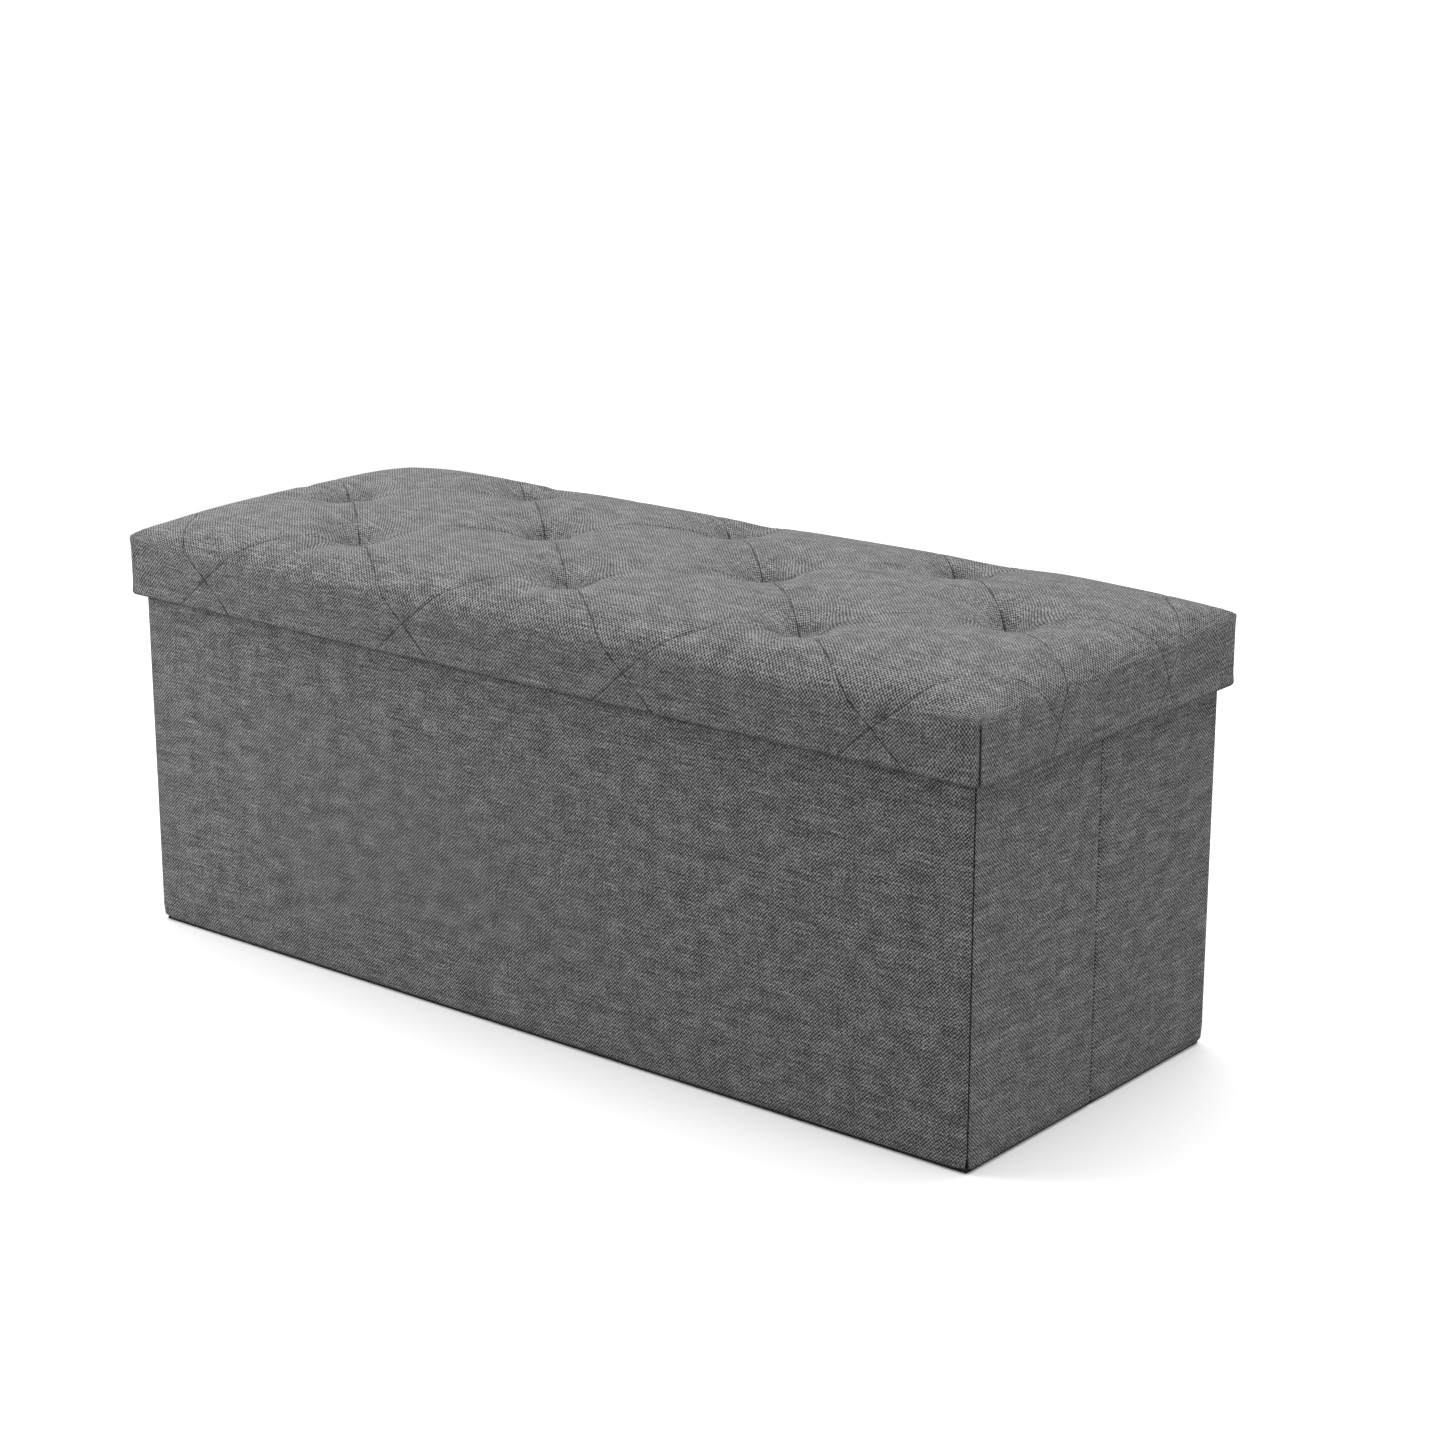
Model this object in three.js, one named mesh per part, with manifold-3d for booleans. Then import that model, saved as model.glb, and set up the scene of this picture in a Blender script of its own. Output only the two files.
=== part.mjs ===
// Folding storage bench: a fabric-covered box whose two ends crease inwards so that it folds flat,
// on a thin cloth-covered base, with a padded, tufted lid that lifts off.
// Millimetres. X runs along the bench, the front faces -Y, Z is up, and the origin is at the middle
// of the foot.
import * as THREE from 'three';
import { mergeVertices } from 'three/addons/utils/BufferGeometryUtils.js';
import Module from 'manifold-3d';

const wasm = await Module();
wasm.setup();

// ---- Driving dimensions -------------------------------------------------------------------------
const bodyLength = 980;          // outside of the box, along X
const bodyDepth = 372;           // outside of the box, along Y
const panelHeight = 362;         // height of every wall panel

const coverThickness = 1.2;      // woven cover on the outside of the box
const panelBoardThickness = 6;   // fibreboard inside each wall panel
const liningThickness = 0.8;     // non-woven lining on the inside of the box and lid
const layerGap = 0.3;            // between a board and the cloth on it
const cornerGap = 0.6;           // across the mitre where two panels meet
const creaseGap = 1.2;           // between the two halves of an end panel
const hingeInset = 0.3;          // hinge axes, in from the inner faces of the walls

const baseClothThickness = 0.4;  // black cloth, one layer each side of the board
const baseBoardThickness = 1.6;  // hardboard
const baseInset = 4;             // how far the base stands back from the faces of the box
const panelStandOff = 0.4;       // panels above the base

const lidBoardThickness = 12;    // fibreboard under the foam
const skirtPlay = 0.41;          // between the skirt's inside and the corners as the ends fold
const lidSeatGap = 0.4;          // lid lining above the wall tops
const skirtOverlap = 28;         // how far the skirt hangs below the wall tops
const skirtBoardThickness = 3;
const hemTurn = 1.5;             // skirt boards stop this far above the hem
const lidCoverThickness = 1.5;

const padEdgeHeight = 20;        // edge of the padded top, above the lid board
const padCrownRise = 23;         // middle of the padded top, above its edge
const tuftHeight = 22;           // bottom of each tuft, above the lid board
const tuftEndMargin = 107;       // outermost tufts from the ends of the lid
const tuftSideMargin = 79;       // outer rows of tufts from the sides of the lid
const tuftMouthRadius = 28;      // dimple at the level of the crown
const tuftFloorRadius = 6;       // dimple at its bottom

const tieRadius = 1.2;           // waxed thread that pulls a tuft down
const tieHeadRadius = 3;         // stitched end of the thread, at the bottom of the dimple
const tieHeadThickness = 1;
const tieKnotRadius = 3;
const tieKnotThickness = 2;
const tieHoleClearance = 0.4;
const washerRadius = 9;
const washerThickness = 1.5;
const washerClearance = 1;       // around the washer in its pocket

// ---- Worked-out dimensions ----------------------------------------------------------------------
const halfLength = bodyLength / 2;
const halfDepth = bodyDepth / 2;
const panelThickness = coverThickness + panelBoardThickness + liningThickness + 2 * layerGap;
const baseThickness = 2 * baseClothThickness + baseBoardThickness + 2 * layerGap;
const panelBottom = baseThickness + panelStandOff;
const panelTop = panelBottom + panelHeight;

// An end's mitred corner swings out past the box as the end folds, and the lid leaves room for it.
const cornerSwing = (Math.SQRT2 - 1) * (panelThickness + hingeInset);
const lidClearance = cornerSwing + skirtPlay;
const skirtInset = lidCoverThickness + layerGap;               // lid face to the skirt board
const lidLiningInset = skirtInset + skirtBoardThickness + layerGap;
const lidOverhang = lidClearance + liningThickness + lidLiningInset;
const lidHalfLength = halfLength + lidOverhang;
const lidHalfDepth = halfDepth + lidOverhang;
const hemHeight = panelTop - skirtOverlap;
const lidLiningBottom = panelTop + lidSeatGap;
const lidBoardBottom = lidLiningBottom + liningThickness + layerGap;
const lidBoardTop = lidBoardBottom + lidBoardThickness;
const padEdge = lidBoardTop + padEdgeHeight;
const padCrown = padEdge + padCrownRise;
const tuftFloor = lidBoardTop + tuftHeight;

// Tufts stand in three staggered rows: four along the middle and three along each side.
const tuftPitchX = (lidHalfLength - tuftEndMargin) / 3;
const tuftPitchY = lidHalfDepth - tuftSideMargin;
const tuftPlaces = [
  ...[-2, 0, 2].map((column) => [column * tuftPitchX, -tuftPitchY]),
  ...[-3, -1, 1, 3].map((column) => [column * tuftPitchX, 0]),
  ...[-2, 0, 2].map((column) => [column * tuftPitchX, tuftPitchY]),
];
const roundSides = 10;           // facets of the small round pieces
const padColumns = 18;           // facets of the padded top, along X and along Y
const padRows = 10;
const cutPast = 1;               // a cutting solid reaches this far past the face that it opens

// ---- Materials ----------------------------------------------------------------------------------
const finish = (color, roughness) =>
  new THREE.MeshStandardMaterial({ color, roughness, metalness: 0 });
const wovenGrey = () => finish(0x6c6c6c, 0.95);
const liningGrey = () => finish(0x3a3a3c, 0.95);
const baseBlack = () => finish(0x161616, 0.95);
const fibreboard = () => finish(0xb08f67, 0.8);
const foamCream = () => finish(0xe6dfc9, 0.9);
const thread = () => finish(0x4a4a4a, 0.8);
const washerBlack = () => finish(0x202020, 0.5);

// ---- Solids -------------------------------------------------------------------------------------
// A closed three.js geometry as a solid that can be joined and cut.
function solidOf(geometry) {
  const bare = geometry.clone();
  bare.deleteAttribute('normal');
  bare.deleteAttribute('uv');
  const merged = mergeVertices(bare, 1e-4);
  return new wasm.Manifold(new wasm.Mesh({
    numProp: 3,
    vertProperties: new Float32Array(merged.attributes.position.array),
    triVerts: new Uint32Array(merged.index.array),
  }));
}

function geometryOf(solid) {
  const mesh = solid.getMesh();
  const geometry = new THREE.BufferGeometry();
  geometry.setAttribute('position', new THREE.BufferAttribute(mesh.vertProperties, 3));
  geometry.setIndex(new THREE.BufferAttribute(mesh.triVerts, 1));
  geometry.computeVertexNormals();
  return geometry;
}

function block(low, high) {
  const size = high.map((value, axis) => value - low[axis]);
  const middle = high.map((value, axis) => (value + low[axis]) / 2);
  return new THREE.BoxGeometry(...size).translate(...middle);
}

// A block centred on the bench's own middle lines.
const slab = (halfX, halfY, bottom, top) =>
  block([-halfX, -halfY, bottom], [halfX, halfY, top]);

function uprightRod(radius, bottom, top, x = 0, y = 0, topRadius = radius) {
  return new THREE.CylinderGeometry(topRadius, radius, top - bottom, roundSides)
    .rotateX(Math.PI / 2)
    .translate(x, y, (bottom + top) / 2);
}

function named(name, material, geometry) {
  const mesh = new THREE.Mesh(geometry, material);
  mesh.name = name;
  return mesh;
}

// ---- Wall panels --------------------------------------------------------------------------------
// A panel is built lying along X with its outer face at y = 0 and its inner face towards +Y.
// ends.left and ends.right say where it stops on the outer face, and whether it is mitred there.
function panelLayer(ends, nearDepth, farDepth, inset, bottom, top) {
  const edge = (end, side, depth) => {
    const slope = end.mitred ? 1 : 0;
    return end.at - side * (slope * depth + inset * Math.hypot(1, slope));
  };
  const outline = new THREE.Shape([
    new THREE.Vector2(edge(ends.left, -1, nearDepth), nearDepth),
    new THREE.Vector2(edge(ends.right, 1, nearDepth), nearDepth),
    new THREE.Vector2(edge(ends.right, 1, farDepth), farDepth),
    new THREE.Vector2(edge(ends.left, -1, farDepth), farDepth),
  ]);
  return new THREE.ExtrudeGeometry(outline, { depth: top - bottom, bevelEnabled: false })
    .translate(0, 0, bottom);
}

function wallPanel(name, ends) {
  const rim = coverThickness;
  const fill = coverThickness + layerGap;
  const boardBack = fill + panelBoardThickness;
  const pastInnerFace = panelThickness + cutPast;
  const cover = solidOf(panelLayer(ends, 0, panelThickness, 0, 0, panelHeight)).subtract(
    solidOf(panelLayer(ends, rim, pastInnerFace, rim, rim, panelHeight - rim)));
  const board = panelLayer(ends, fill, boardBack, fill, fill, panelHeight - fill);
  const lining = panelLayer(
    ends, boardBack + layerGap, panelThickness, fill, fill, panelHeight - fill);
  const panel = new THREE.Group();
  panel.add(named(`${name}_cover`, wovenGrey(), geometryOf(cover)));
  panel.add(named(`${name}_board`, fibreboard(), board));
  panel.add(named(`${name}_lining`, liningGrey(), lining));
  return panel;
}

function placePanel(panel, x, y, turn) {
  panel.position.set(x, y, panelBottom);
  panel.rotation.z = turn;
  return panel;
}

// ---- Base ---------------------------------------------------------------------------------------
// Three flat layers under the walls: cloth on the floor, the board, and cloth again on top.
function base() {
  const halfX = halfLength - baseInset;
  const halfY = halfDepth - baseInset;
  const boardBottom = baseClothThickness + layerGap;
  const boardTop = boardBottom + baseBoardThickness;
  const group = new THREE.Group();
  group.add(named('base_cloth', baseBlack(), slab(halfX, halfY, 0, baseClothThickness)));
  group.add(named('base_board', fibreboard(), slab(halfX, halfY, boardBottom, boardTop)));
  group.add(named('base_lining', baseBlack(),
    slab(halfX, halfY, boardTop + layerGap, baseThickness)));
  return group;
}

// ---- Lid ----------------------------------------------------------------------------------------
// Height of the padded top without its tufts: low at the rim, crowned in the middle.
function padHeight(x, y) {
  const along = 1 - Math.abs(x / lidHalfLength) ** 5;
  const across = 1 - Math.abs(y / lidHalfDepth) ** 3;
  return padEdge + padCrownRise * along * across;
}

// The dimple over one tuft, with its wall moved outwards by the inset.
function tuftDimple([x, y], inset) {
  const bottom = tuftFloor - inset;
  return solidOf(uprightRod(tuftFloorRadius + inset, bottom, padCrown + cutPast, x, y,
    tuftMouthRadius + inset));
}

// The outer form of the padded lid, from a flat underside up to its tufted top, moved inwards by
// the inset on its sides and top.
function paddedForm(bottom, inset) {
  const form = new THREE.BoxGeometry(
    2 * (lidHalfLength - inset), 2 * (lidHalfDepth - inset), 1, padColumns, padRows, 1);
  const corners = form.attributes.position;
  for (let i = 0; i < corners.count; i += 1) {
    const isTop = corners.getZ(i) > 0;
    corners.setZ(i, isTop ? padHeight(corners.getX(i), corners.getY(i)) - inset : bottom);
  }
  return tuftPlaces.reduce(
    (solid, place) => solid.subtract(tuftDimple(place, inset)), solidOf(form));
}

// The holes that the tufting threads pass through.
function drillTieHoles(solid) {
  const radius = tieRadius + tieHoleClearance;
  return tuftPlaces.reduce((rest, [x, y]) =>
    rest.subtract(solidOf(uprightRod(radius, hemHeight, padCrown, x, y))), solid);
}

function lidCover() {
  const hollow = paddedForm(hemHeight - cutPast, lidCoverThickness);
  return drillTieHoles(paddedForm(hemHeight, 0).subtract(hollow));
}

const lidFoam = () => drillTieHoles(paddedForm(lidBoardTop + layerGap, skirtInset));

const washerPocketDepth = layerGap + tieKnotThickness + layerGap + washerThickness + layerGap;

function lidBoard() {
  const halfX = lidHalfLength - lidLiningInset;
  const halfY = lidHalfDepth - lidLiningInset;
  const plate = solidOf(slab(halfX, halfY, lidBoardBottom, lidBoardTop));
  const radius = washerRadius + washerClearance;
  const pockets = tuftPlaces.map(([x, y]) => solidOf(uprightRod(
    radius, lidBoardBottom - cutPast, lidBoardBottom + washerPocketDepth, x, y)));
  return drillTieHoles(pockets.reduce((rest, pocket) => rest.subtract(pocket), plate));
}

// An open tray turned upside down: it lines the underside of the board and the skirt's inside.
function lidLining() {
  const halfX = lidHalfLength - lidLiningInset;
  const halfY = lidHalfDepth - lidLiningInset;
  const top = lidBoardBottom - layerGap;
  const outside = solidOf(slab(halfX, halfY, hemHeight + layerGap, top));
  const inside = solidOf(slab(halfX - liningThickness, halfY - liningThickness,
    hemHeight - cutPast, top - liningThickness));
  return outside.subtract(inside);
}

function skirtBoards() {
  const outerX = lidHalfLength - skirtInset;
  const outerY = lidHalfDepth - skirtInset;
  const innerY = outerY - skirtBoardThickness;
  const low = hemHeight + hemTurn;
  const high = lidBoardTop;
  const endY = innerY - layerGap;
  const sideBoard = () => block(
    [-outerX, -skirtBoardThickness / 2, low], [outerX, skirtBoardThickness / 2, high]);
  const endBoard = () => block(
    [-skirtBoardThickness / 2, -endY, low], [skirtBoardThickness / 2, endY, high]);
  const middleX = outerX - skirtBoardThickness / 2;
  const middleY = outerY - skirtBoardThickness / 2;
  const places = {
    front: [sideBoard, 0, -middleY],
    rear: [sideBoard, 0, middleY],
    left: [endBoard, -middleX, 0],
    right: [endBoard, middleX, 0],
  };
  return Object.entries(places).map(([side, [shape, x, y]]) => {
    const board = named(`lid_skirt_${side}`, fibreboard(), shape());
    board.position.set(x, y, 0);
    return board;
  });
}

// A thread with a stitched head in the dimple and a knot below the washer.
function tuftTie() {
  const knotBottom = lidBoardBottom + layerGap;
  const knotTop = knotBottom + tieKnotThickness;
  const headBottom = tuftFloor + layerGap;
  const profile = [
    [0, knotBottom], [tieKnotRadius, knotBottom], [tieKnotRadius, knotTop], [tieRadius, knotTop],
    [tieRadius, headBottom], [tieHeadRadius, headBottom],
    [tieHeadRadius, headBottom + tieHeadThickness], [0, headBottom + tieHeadThickness],
  ].map(([radius, height]) => new THREE.Vector2(radius, height));
  return new THREE.LatheGeometry(profile, roundSides).rotateX(Math.PI / 2);
}

function tuftWasher() {
  const bottom = lidBoardBottom + layerGap + tieKnotThickness + layerGap;
  const disc = solidOf(uprightRod(washerRadius, bottom, bottom + washerThickness));
  const hole = solidOf(uprightRod(
    tieRadius + tieHoleClearance, bottom - cutPast, bottom + washerThickness + cutPast));
  return disc.subtract(hole);
}

function tufting() {
  return tuftPlaces.flatMap(([x, y], index) => {
    const tie = named(`tuft_tie_${index + 1}`, thread(), tuftTie());
    const washer = named(`tuft_washer_${index + 1}`, washerBlack(), geometryOf(tuftWasher()));
    tie.position.set(x, y, 0);
    washer.position.set(x, y, 0);
    return [tie, washer];
  });
}

function lid() {
  const group = new THREE.Group();
  group.add(named('lid_cover', wovenGrey(), geometryOf(lidCover())));
  group.add(named('lid_foam', foamCream(), geometryOf(lidFoam())));
  group.add(named('lid_board', fibreboard(), geometryOf(lidBoard())));
  group.add(named('lid_lining', liningGrey(), geometryOf(lidLining())));
  group.add(...skirtBoards(), ...tufting());
  return group;
}

// ---- Assembly -----------------------------------------------------------------------------------
function longWall(name) {
  const setBack = cornerGap / Math.SQRT2;
  const reach = halfLength - setBack;
  return wallPanel(name, {
    left: { at: -reach, mitred: true },
    right: { at: reach, mitred: true },
  });
}

// Half of an end panel. It runs from the crease in the middle of the end to one corner.
function endHalf(name, cornerSide) {
  const corner = { at: cornerSide * (halfDepth - cornerGap / Math.SQRT2), mitred: true };
  const crease = { at: cornerSide * creaseGap / 2, mitred: false };
  return wallPanel(name, cornerSide > 0
    ? { left: crease, right: corner }
    : { left: corner, right: crease });
}

const quarterTurn = Math.PI / 2;
const bench = new THREE.Group();
bench.add(base());
bench.add(placePanel(longWall('front'), 0, -halfDepth, 0));
bench.add(placePanel(longWall('rear'), 0, halfDepth, 2 * quarterTurn));
bench.add(placePanel(endHalf('right_rear', 1), halfLength, 0, quarterTurn));
bench.add(placePanel(endHalf('right_front', -1), halfLength, 0, quarterTurn));
bench.add(placePanel(endHalf('left_front', 1), -halfLength, 0, -quarterTurn));
bench.add(placePanel(endHalf('left_rear', -1), -halfLength, 0, -quarterTurn));
bench.add(lid());

export default bench;
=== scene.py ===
import math

import bmesh
import bpy
import numpy as np
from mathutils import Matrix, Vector


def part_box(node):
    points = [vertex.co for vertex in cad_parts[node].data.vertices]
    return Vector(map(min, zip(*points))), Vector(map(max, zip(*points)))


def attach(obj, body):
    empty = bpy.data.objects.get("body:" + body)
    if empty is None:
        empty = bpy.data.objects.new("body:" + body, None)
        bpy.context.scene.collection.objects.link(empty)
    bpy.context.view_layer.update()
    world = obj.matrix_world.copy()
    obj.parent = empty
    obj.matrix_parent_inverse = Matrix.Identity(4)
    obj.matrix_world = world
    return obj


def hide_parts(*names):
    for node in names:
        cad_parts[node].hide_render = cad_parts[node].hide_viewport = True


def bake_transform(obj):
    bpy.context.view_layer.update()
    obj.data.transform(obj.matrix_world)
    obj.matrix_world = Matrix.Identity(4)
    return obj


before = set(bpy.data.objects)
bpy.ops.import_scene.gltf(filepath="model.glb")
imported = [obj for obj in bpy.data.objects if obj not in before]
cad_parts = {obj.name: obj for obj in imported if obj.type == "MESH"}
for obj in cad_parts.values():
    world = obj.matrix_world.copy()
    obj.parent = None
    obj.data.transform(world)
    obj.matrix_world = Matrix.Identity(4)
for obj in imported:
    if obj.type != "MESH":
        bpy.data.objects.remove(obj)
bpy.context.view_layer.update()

# ---- Viewpoint, floor and light ------------------------------------------------------------------
# A long lens a little above the bench, looking at its right front corner. The floor is a pale matt
# sheet in a white room. A wide soft panel hangs overhead, with softboxes in front and at the sides.
view_azimuth = math.radians(39.03)
view_elevation = math.radians(16.44)
view_distance = 2.905
view_target = Vector((0.0817, 0.0, 0.2688))
toward_camera = Vector((
    math.sin(view_azimuth) * math.cos(view_elevation),
    -math.cos(view_azimuth) * math.cos(view_elevation),
    math.sin(view_elevation),
))
camera_data = bpy.data.cameras.new("camera")
camera_data.lens = 79.1
camera_data.sensor_width = 36.0
camera_data.clip_end = 200.0
camera = bpy.data.objects.new("camera", camera_data)
camera.location = view_target + view_distance * toward_camera
camera.rotation_euler = (math.pi / 2 - view_elevation, 0.0, view_azimuth)
bpy.context.scene.collection.objects.link(camera)
bpy.context.scene.camera = camera
bpy.context.scene.view_settings.view_transform = "Standard"

floor_half = 1.7
floor_mesh = bpy.data.meshes.new("floor")
floor_mesh.from_pydata(
    [(-floor_half, -floor_half, 0), (floor_half, -floor_half, 0),
     (floor_half, floor_half, 0), (-floor_half, floor_half, 0)],
    [], [(0, 1, 2, 3)])
floor = bpy.data.objects.new("floor", floor_mesh)
bpy.context.scene.collection.objects.link(floor)
floor_paint = bpy.data.materials.new("floor_white")
floor_paint.use_nodes = True
floor_shader = floor_paint.node_tree.nodes["Principled BSDF"]
floor_tone = floor_paint.node_tree.nodes.new("ShaderNodeMix")
floor_tone.data_type = "RGBA"
floor_tone.inputs["A"].default_value = (0.22, 0.22, 0.22, 1.0)
floor_tone.inputs["B"].default_value = (0.70, 0.70, 0.70, 1.0)
floor_seen = floor_paint.node_tree.nodes.new("ShaderNodeLightPath").outputs["Is Camera Ray"]
floor_paint.node_tree.links.new(floor_seen, floor_tone.inputs["Factor"])
floor_paint.node_tree.links.new(floor_tone.outputs["Result"], floor_shader.inputs["Base Color"])
floor_shader.inputs["Roughness"].default_value = 1.0
floor_shader.inputs["Specular IOR Level"].default_value = 0.0
floor_mesh.materials.append(floor_paint)

room = bpy.data.worlds.new("white_room")
room.use_nodes = True
room.node_tree.nodes["Background"].inputs["Color"].default_value = (1.0, 1.0, 1.0, 1.0)
seen_directly = room.node_tree.nodes.new("ShaderNodeLightPath").outputs["Is Camera Ray"]
brightness = room.node_tree.nodes.new("ShaderNodeMapRange")
brightness.inputs["To Min"].default_value = 0.36
brightness.inputs["To Max"].default_value = 1.0
room.node_tree.links.new(seen_directly, brightness.inputs["Value"])
room.node_tree.links.new(brightness.outputs["Result"],
                         room.node_tree.nodes["Background"].inputs["Strength"])
bpy.context.scene.world = room

for label, size, energy, place, aim in (
        ("overhead_panel", 6.0, 395.0, (-0.5, 1.2, 4.0), (-0.5, 1.2, 0.0)),
        ("front_softbox", 2.4, 23.0, (1.0, -3.0, 0.7), (0.1, 0.0, 0.2)),
        ("left_softbox", 1.0, 36.0, (-1.5, -1.3, 0.8), (-0.5, 0.0, 0.2)),
        ("right_softbox", 1.5, 34.0, (2.6, -0.3, 1.0), (0.4, 0.0, 0.2))):
    light_data = bpy.data.lights.new(label, "AREA")
    light_data.size = size
    light_data.energy = energy
    light = bpy.data.objects.new(label, light_data)
    light.location = place
    light.rotation_euler = (Vector(aim) - Vector(place)).to_track_quat("-Z", "Y").to_euler()
    bpy.context.scene.collection.objects.link(light)

# ---- Cloth laid over a board ---------------------------------------------------------------------
# Every cover on the bench is one cut of cloth laid on a face, turned over its edges and down its
# sides. Its corners are cut out and seamed. The cloth keeps its own flat coordinates, in metres.
arc_steps = 4


def stations(stops, radius, side, side_steps, turn_in=0.0):
    """Rows across a cloth: flat coordinate, place on the face, turn of the edge and way down.

    stops are (place, steps) pairs out from the middle, and the last one is where the edge starts
    to turn. turn_in is how far the cloth goes on behind, past its side.
    """
    rows = [(0.0, 0.0, 0.0, 0.0)]
    for place, steps in stops:
        start = rows[-1][0]
        rows += [(start + (place - start) * k / steps,) * 2 + (0.0, 0.0)
                 for k in range(1, steps + 1)]
    flat = rows[-1][0]
    for k in range(1, arc_steps + 1):
        turn = k / arc_steps * math.pi / 2
        rows.append((flat + radius * turn, flat + radius * math.sin(turn),
                     1 - math.cos(turn), 0.0))
    flat_edge, half = rows[-1][:2]
    rows += [(flat_edge + side * k / side_steps, half, 1.0, k / side_steps)
             for k in range(1, side_steps + 1)]
    if turn_in:
        rows.append((flat_edge + side + turn_in, half - turn_in, 1.0, 1.0))
    rows = np.array(rows)
    mirrored = rows[:0:-1].copy()
    mirrored[:, :2] *= -1
    return np.vstack([mirrored, rows])


def laid_cloth(across, along, height, low, drop):
    """Points [i, j] of a cloth laid on a face, its flat coordinates, and its way down the side.

    height(x, y) is the face, low the end of the side, and drop(x, y) the depth of the turned edge.
    """
    across, along = across[:, None, :], along[None, :, :]
    flat_u, flat_v = np.broadcast_arrays(across[..., 0], along[..., 0])
    x, y = np.broadcast_arrays(across[..., 1], along[..., 1])
    turned = (across[..., 2] ** 4 + along[..., 2] ** 4) ** 0.25
    way_down = np.maximum(across[..., 3], along[..., 3])
    top = height(x, y) - turned * drop(x, y)
    z = top + way_down * (low - top)
    cut_out = (across[..., 3] > 0) & (along[..., 3] > 0)
    points = np.stack([x, y, np.where(cut_out, np.nan, z)], -1)
    return points, np.stack([flat_u, flat_v], -1), way_down


def cloth_object(name, points, maps, turned=None):
    """An object from a grid of points, leaving out its cut corners; maps are its face-corner maps.

    turned says which faces were cut with the weft running the other way.
    """
    whole = ~np.isnan(points[..., 2])
    number = np.arange(whole.size).reshape(whole.shape)
    inside = whole[:-1, :-1] & whole[1:, :-1] & whole[1:, 1:] & whole[:-1, 1:]
    faces = np.stack([number[:-1, :-1][inside], number[1:, :-1][inside],
                      number[1:, 1:][inside], number[:-1, 1:][inside]], -1)
    used, numbered = np.unique(faces, return_inverse=True)
    mesh = bpy.data.meshes.new(name)
    mesh.from_pydata(points.reshape(-1, 3)[used].tolist(), [],
                     numbered.reshape(faces.shape).tolist())
    for label, values in maps.items():
        layer = mesh.uv_layers.new(name=label)
        corners = values.reshape(-1, 2)[faces]
        if label == "cloth" and turned is not None:
            swapped = turned[inside][:, None, None]
            corners = np.where(swapped, corners[..., ::-1], corners)
        layer.data.foreach_set("uv", corners.ravel())
    mesh.polygons.foreach_set("use_smooth", [True] * len(mesh.polygons))
    mesh.update()
    made = bpy.data.objects.new(name, mesh)
    bpy.context.scene.collection.objects.link(made)
    return made


def apply_modifier(made, modifier):
    bpy.context.view_layer.objects.active = made
    bpy.ops.object.modifier_apply(modifier=modifier.name)


def weld(made, distance):
    """Joins the cloth where its cut edges meet at a seam."""
    modifier = made.modifiers.new("seam", "WELD")
    modifier.merge_threshold = distance
    apply_modifier(made, modifier)


# ---- Woven cover cloth ---------------------------------------------------------------------------
# Grey linen-look polyester: a plain weave of pale weft over dark warp, with slubs along the weft and
# soft patches where the yarn took the dye differently. It is laminated to the boards.
def node_group(name, inputs, outputs):
    """An empty shader group with its sockets: name, type and default value."""
    group = bpy.data.node_groups.new(name, "ShaderNodeTree")
    for label, kind, value in inputs:
        socket = group.interface.new_socket(label, in_out="INPUT", socket_type=kind)
        if value is not None:
            socket.default_value = value
    for label, kind in outputs:
        group.interface.new_socket(label, in_out="OUTPUT", socket_type=kind)
    return group, group.nodes.new("NodeGroupInput"), group.nodes.new("NodeGroupOutput")


def math_node(tree, operation, *values):
    """A math node whose inputs are numbers or other nodes' sockets; gives its output socket."""
    node = tree.nodes.new("ShaderNodeMath")
    node.operation = operation
    for socket, value in zip(node.inputs, values):
        if isinstance(value, (int, float)):
            socket.default_value = value
        else:
            tree.links.new(value, socket)
    return node.outputs[0]


def fade(tree, value, start, end, low=0.0, high=1.0):
    """Goes smoothly from low to high while value goes from start to end."""
    node = tree.nodes.new("ShaderNodeMapRange")
    node.interpolation_type = "SMOOTHSTEP"
    for label, number in (("From Min", start), ("From Max", end), ("To Min", low), ("To Max", high)):
        node.inputs[label].default_value = number
    tree.links.new(value, node.inputs["Value"])
    return node.outputs["Result"]


def stretched_noise(tree, coordinates, scale_u, scale_v, detail=2.0, scale_w=1.0):
    """Noise with its own scale along each of the coordinates, centred on zero."""
    mapping = tree.nodes.new("ShaderNodeMapping")
    mapping.inputs["Scale"].default_value = (scale_u, scale_v, scale_w)
    tree.links.new(coordinates, mapping.inputs["Vector"])
    noise = tree.nodes.new("ShaderNodeTexNoise")
    noise.inputs["Scale"].default_value = 1.0
    noise.inputs["Detail"].default_value = detail
    tree.links.new(mapping.outputs["Vector"], noise.inputs["Vector"])
    return math_node(tree, "SUBTRACT", noise.outputs["Fac"], 0.5)


def dye_and_raise(tree, tone, shade, height, depth):
    """Colours the surface with a tone times a shade, and gives it relief of a depth from a height."""
    shader = tree.nodes["Principled BSDF"]
    dyed = tree.nodes.new("ShaderNodeVectorMath")
    dyed.operation = "SCALE"
    dyed.inputs[0].default_value = tone
    tree.links.new(shade, dyed.inputs["Scale"])
    tree.links.new(dyed.outputs["Vector"], shader.inputs["Base Color"])
    bump = tree.nodes.new("ShaderNodeBump")
    bump.inputs["Strength"].default_value = 0.5
    bump.inputs["Distance"].default_value = depth
    tree.links.new(height, bump.inputs["Height"])
    tree.links.new(bump.outputs["Normal"], shader.inputs["Normal"])


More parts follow.
